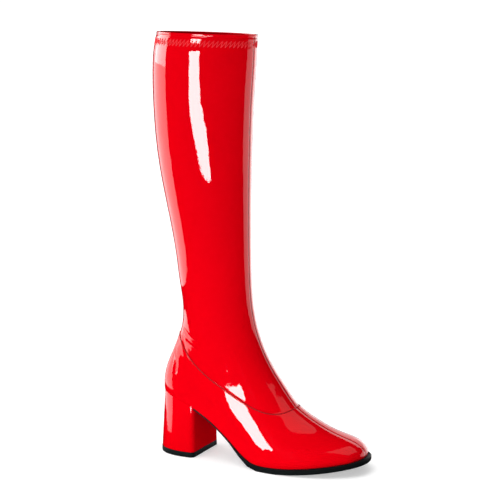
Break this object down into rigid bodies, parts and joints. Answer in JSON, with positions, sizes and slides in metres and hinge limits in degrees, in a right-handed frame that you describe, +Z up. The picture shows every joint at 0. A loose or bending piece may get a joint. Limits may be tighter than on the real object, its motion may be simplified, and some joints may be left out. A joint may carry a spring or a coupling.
{
  "type": "go go boot",
  "caption": "Knee-high stretch patent boot with a round toe, a thin black sole and a covered block heel; open at the collar.",
  "frame": {"origin": "on the floor, under the middle of the heel's rubber lift", "axes": "+X towards the toe, +Y towards the inner side of the foot, +Z up the leg"},
  "size_m": [0.2485, 0.093, 0.458],
  "materials": {
    "red_patent": "glossy stretch patent",
    "heel_patent": "glossy patent cover",
    "sole_rubber": "satin black",
    "lift_rubber": "satin black",
    "insole_lining": "matt lining"
  },
  "bodies": {
    "root": {"upper": "red_patent", "heel_block": "heel_patent", "outsole": "sole_rubber", "heel_lift": "lift_rubber", "insole": "insole_lining"}
  },
  "joints": []
}
